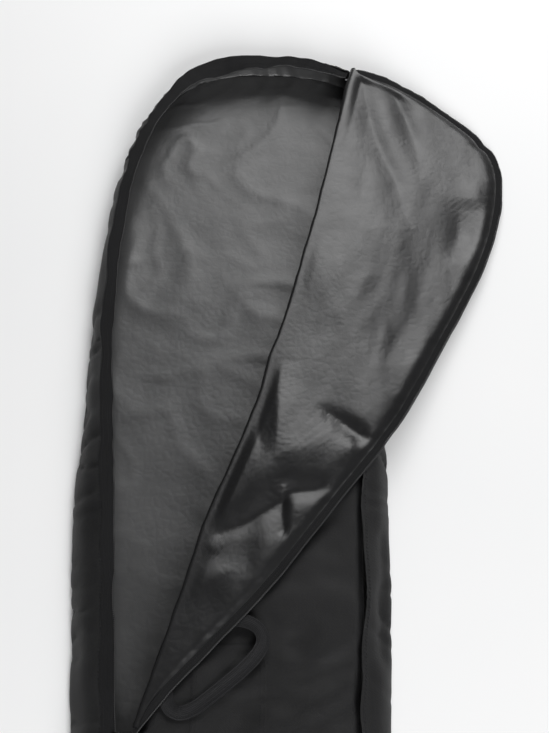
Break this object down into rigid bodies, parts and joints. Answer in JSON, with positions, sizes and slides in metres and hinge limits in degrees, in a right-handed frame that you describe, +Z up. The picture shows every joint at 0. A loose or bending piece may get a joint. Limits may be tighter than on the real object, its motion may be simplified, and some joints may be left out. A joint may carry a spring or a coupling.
{
  "type": "snowboard bag",
  "caption": "Long flat fabric sleeve for a snowboard, zipped round its nose, with a fold-back front cover, side walls and a webbing carry handle.",
  "frame": {"origin": "middle of the back panel's underside, halfway along the bag", "axes": "+X across the bag to the side that the cover folds over, +Y along the bag to its nose, +Z up from the surface it lies on"},
  "size_m": [0.5867, 1.6375, 0.0586],
  "materials": {
    "shell_fabric": "black woven polyester, matte",
    "lining": "dark grey coated inner face, satin sheen",
    "strip": "black woven polyester, matte, sewn down both sides",
    "zip_tape": "black knitted tape, matte",
    "zip_coil": "black nylon coil",
    "webbing": "black woven webbing, matte",
    "hardware": "black painted zinc, satin",
    "grip": "black moulded rubber"
  },
  "bodies": {
    "shell": {"back_panel": "shell_fabric", "back_lining": "lining", "left_gusset": "shell_fabric", "nose_gusset": "shell_fabric", "right_gusset": "shell_fabric", "tail_gusset": "shell_fabric", "front_panel": "shell_fabric", "front_strip": "strip", "body_zip_tape": "zip_tape", "body_zip_coil": "zip_coil", "closed_zip_chain": "zip_tape", "zip_bottom_stop": "hardware", "zip_top_stop": "hardware"},
    "zip_slider": {"slider_body": "hardware", "slider_bridge": "hardware"},
    "zip_puller": {"puller_tab": "hardware", "puller_grip": "grip"},
    "cover": {"cover_inner_panel": "shell_fabric", "cover_inner_lining": "lining", "cover_inner_zip_tape": "zip_tape", "cover_inner_zip_coil": "zip_coil", "handle_end_lower": "webbing", "handle_end_upper": "webbing", "handle_patch_lower": "webbing", "handle_patch_upper": "webbing"},
    "cover_edge": {"cover_outer_panel": "shell_fabric", "cover_outer_lining": "lining", "cover_outer_zip_tape": "zip_tape", "cover_outer_zip_coil": "zip_coil"},
    "handle": {"handle_loop": "webbing"}
  },
  "joints": [
    {"name": "cover_fold", "type": "hinge", "parent": "shell", "child": "cover", "pos_m": [-0.107, -0.21, 0.0515], "axis": [-0.2836, -0.9589, 0], "range_deg": [0, 180]},
    {"name": "cover_bend", "type": "hinge", "parent": "cover", "child": "cover_edge", "pos_m": [0.168, 0.4, 0.0571], "axis": [0, -1, 0], "range_deg": [0, 12]},
    {"name": "handle_swing", "type": "hinge", "parent": "cover", "child": "handle", "pos_m": [-0.0041, -0.1323, 0.0507], "axis": [-0.6048, -0.7964, 0], "range_deg": [0, 40]},
    {"name": "zip_slide", "type": "slide", "parent": "shell", "child": "zip_slider", "axis": [-0.0743, 0.9972, 0], "range_m": [0, 0.49]},
    {"name": "puller_swing", "type": "hinge", "parent": "zip_slider", "child": "zip_puller", "pos_m": [-0.12096, -0.22396, 0.0543], "axis": [-0.9972, -0.0743, 0], "range_deg": [0, 165]}
  ],
  "couplings": [
    {"joint": "cover_bend", "follows": "cover_fold", "ratio": 0.066667}
  ]
}
